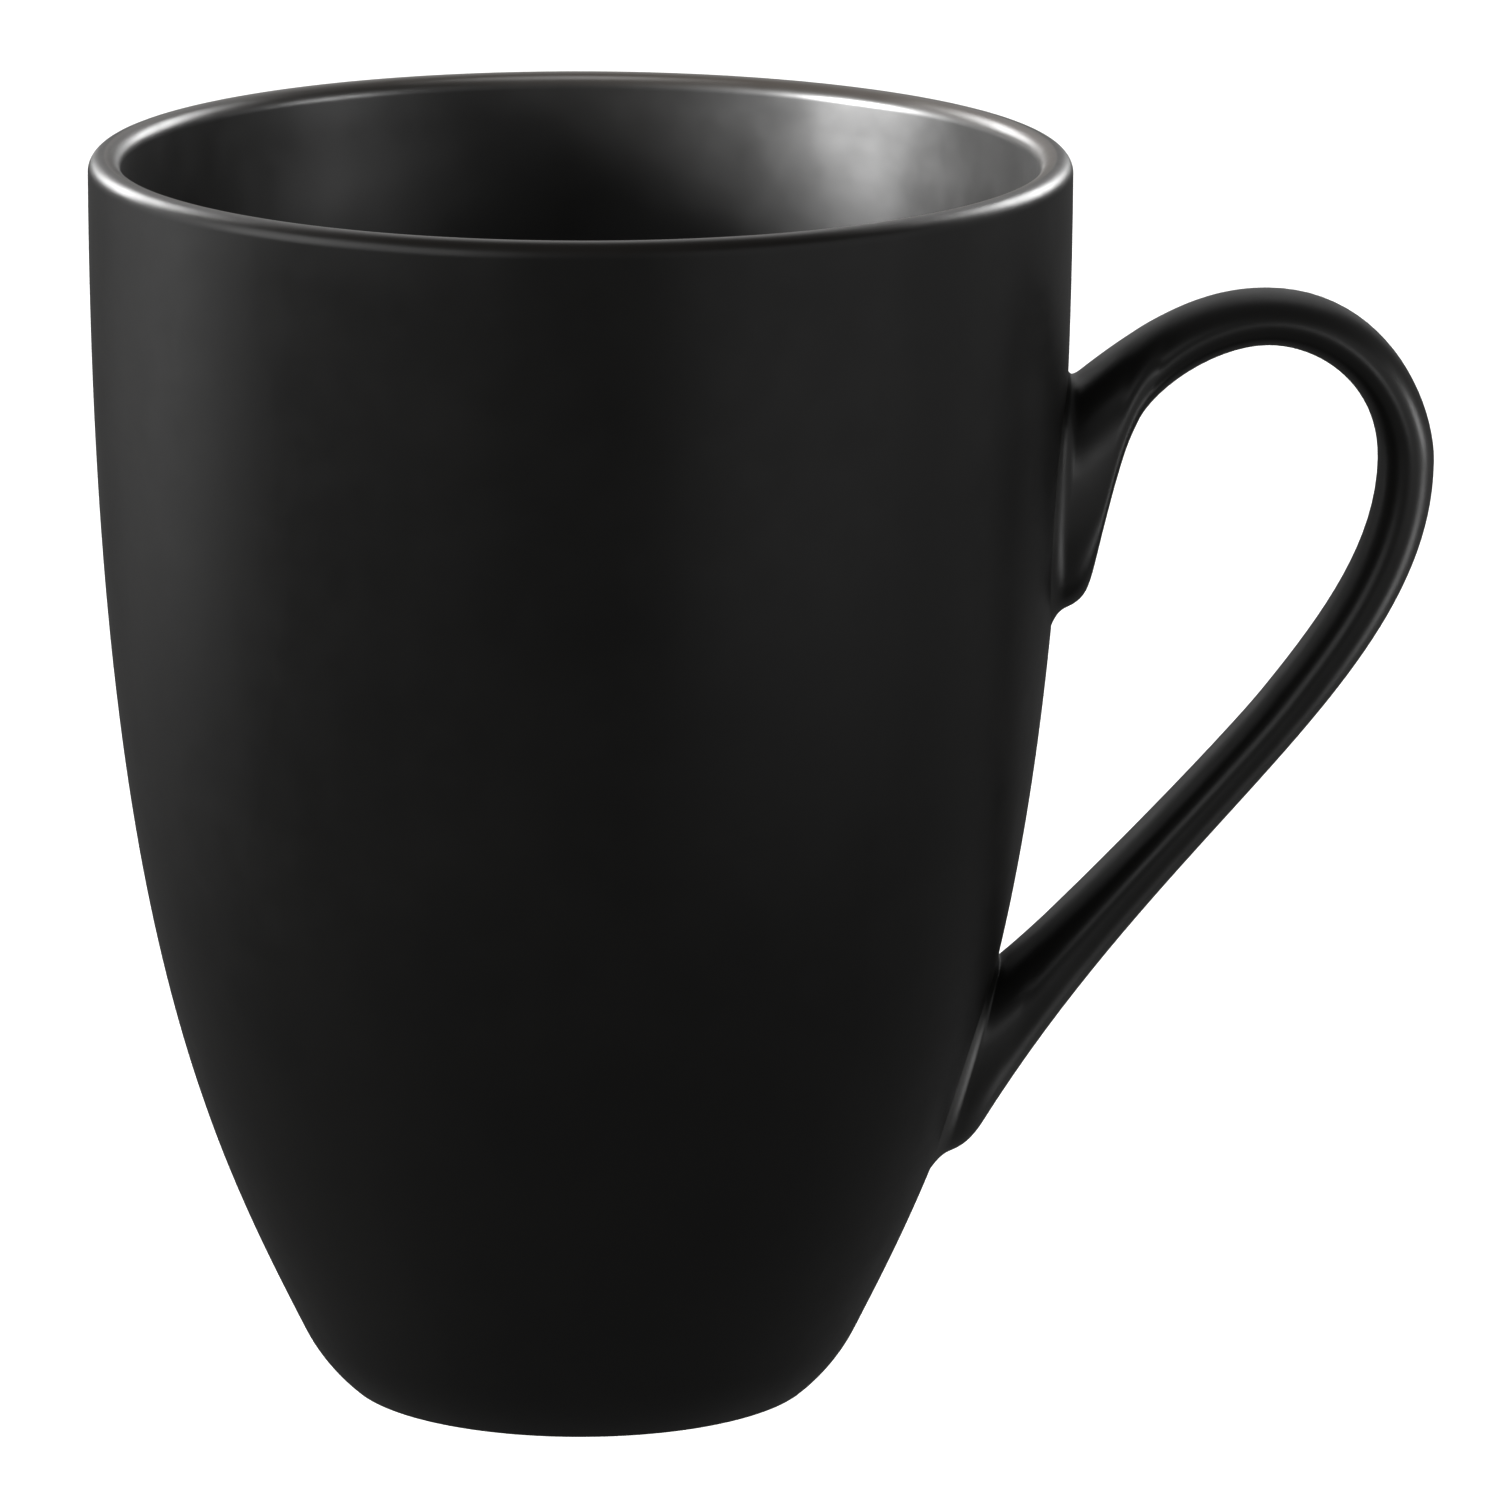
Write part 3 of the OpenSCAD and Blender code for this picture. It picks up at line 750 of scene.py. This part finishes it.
# Each bank of light: degrees round from the camera's side towards the handle, degrees up, side in metres
# and power in watts. Some are flagged to reach only a few pieces. The floor's bank is shaded only by the
# floor, so the mug leaves no shadow on it.
bankAway = 1.3             # metres from lookAt, where a bank says no other
coats = ("outerGlaze", "linerGlaze")
lightBanks = dict(
    leftEdge=dict(turn=-119, lift=5, size=1, power=0.9),
    leftLow=dict(turn=-100, lift=5, size=0.9, power=1.8),
    leftHigh=dict(turn=-74, lift=22, size=0.8, power=4.5),
    frontLeft=dict(turn=-40, lift=22, size=0.8, power=2.4),
    rightFront=dict(turn=52, lift=8, size=1.4, power=2.2),
    rightEdge=dict(turn=98, lift=5, size=1, power=0.6),
    lipLeft=dict(turn=-142, lift=24, size=0.5, power=11, only=coats),
    lipRight=dict(turn=142, lift=24, size=0.5, power=11, only=coats),
    lipBack=dict(turn=180, lift=35, size=1, power=2.5, only=coats),
    mouthLeft=dict(turn=-77, lift=13, size=0.3, power=105, only=["linerGlaze"]),
    mouthTop=dict(turn=0, lift=84, size=0.6, power=6, only=["linerGlaze"]),
    mouthRight=dict(turn=68, lift=15, size=0.25, power=8, only=["linerGlaze"]),
    strapFront=dict(turn=20, lift=5, size=0.3, power=1, only=["handleGlaze"]),
    strapSide=dict(turn=100, lift=5, size=0.4, power=3.2, only=["handleGlaze"]),
    strapUnder=dict(turn=95, lift=-25, size=0.6, power=3, only=["handleGlaze"]),
    strapTop=dict(turn=180, lift=25, size=1.2, power=1.6, only=["handleGlaze"]),
    floorBank=dict(turn=0, lift=88, size=2.4, power=60, away=1.5, only=["studioFloor"],
                   shade=["studioFloor"]),
)
lookAt = Vector((0, 0, 0.06))


def makeLight(name, bank):
    data = bpy.data.lights.new(name, "AREA")
    data.shape = "SQUARE"
    data.size = bank["size"]
    data.energy = bank["power"]
    light = bpy.data.objects.new(name, data)
    scene.collection.objects.link(light)
    turn, lift = math.radians(bank["turn"]), math.radians(bank["lift"])
    out = Vector((math.sin(turn) * math.cos(lift), -math.cos(turn) * math.cos(lift), math.sin(lift)))
    light.location = lookAt + bank.get("away", bankAway) * out
    light.rotation_euler = (-out).to_track_quat("-Z", "Y").to_euler()
    if "only" in bank:
        reached = bpy.data.collections.new(name + "Reaches")
        shading = bpy.data.collections.new(name + "Shade")
        for piece in bank["only"]:
            reached.objects.link(bpy.data.objects[piece])
        for piece in bank.get("shade", mugPieces):
            shading.objects.link(bpy.data.objects[piece])
        light.light_linking.receiver_collection = reached
        light.light_linking.blocker_collection = shading


cameraSetup = dict(
    at=(0, -1.0011, 0.28857),
    tilt=13.09,            # degrees down, then to the right, then over
    turn=0.837,
    roll=0.234,
    lens=286.1,            # millimetres, as is the sensor's width
    sensor=36,
    clipStart=0.05,
)


def makeCamera():
    data = bpy.data.cameras.new("camera")
    data.lens = cameraSetup["lens"]
    data.sensor_width = cameraSetup["sensor"]
    data.clip_start = cameraSetup["clipStart"]
    camera = bpy.data.objects.new("camera", data)
    scene.collection.objects.link(camera)
    turn = Matrix.Rotation(math.radians(-cameraSetup["turn"]), 4, "Z")
    tilt = Matrix.Rotation(math.radians(90 - cameraSetup["tilt"]), 4, "X")
    roll = Matrix.Rotation(math.radians(cameraSetup["roll"]), 4, "Z")
    camera.matrix_world = Matrix.Translation(cameraSetup["at"]) @ turn @ tilt @ roll
    scene.camera = camera


print("vessel and glazes")
vessel = makeVessel()
outerGlaze = makeOuterGlaze()
liner = makeCoat("inner", "linerGlaze", "liner_glaze")
baseGlaze = makeCoat("recess", "baseGlaze", "base_glaze")
print("handle, slip and its glaze")
handle = makeHandle()
upperSlip = makeSlip("upperSlip", "upper_slip_joint", strap[0], strap[1])
lowerSlip = makeSlip("lowerSlip", "lower_slip_joint", strap[-1], strap[-2])
handleGlaze = makeHandleGlaze()

print("materials")
matteGlaze = glazeMaterial(matteFinish, "matteBlackGlaze")
satinGlaze = glazeMaterial(satinFinish, "satinBlackGlaze")
bareClay = clayMaterial(clayFinish, "bareClay")
joiningSlip = clayMaterial(slipFinish, "joiningSlip")
for piece in (outerGlaze, handleGlaze, baseGlaze):
    dress(piece, matteGlaze)
dress(liner, satinGlaze)
for piece in (vessel, handle):
    dress(piece, bareClay)
for piece in (upperSlip, lowerSlip):
    dress(piece, joiningSlip)

print("floor, lights and camera")
# only the mug shades the flagged lights, the floor's bank aside, so a bank may stand below the floor
mugPieces = [vessel.name, handle.name, upperSlip.name, lowerSlip.name]
mugPieces += [outerGlaze.name, liner.name, handleGlaze.name, baseGlaze.name]
scene.view_settings.view_transform = "Standard"
makeFloor()
makeWorld()
for name, bank in lightBanks.items():
    makeLight(name, bank)
makeCamera()
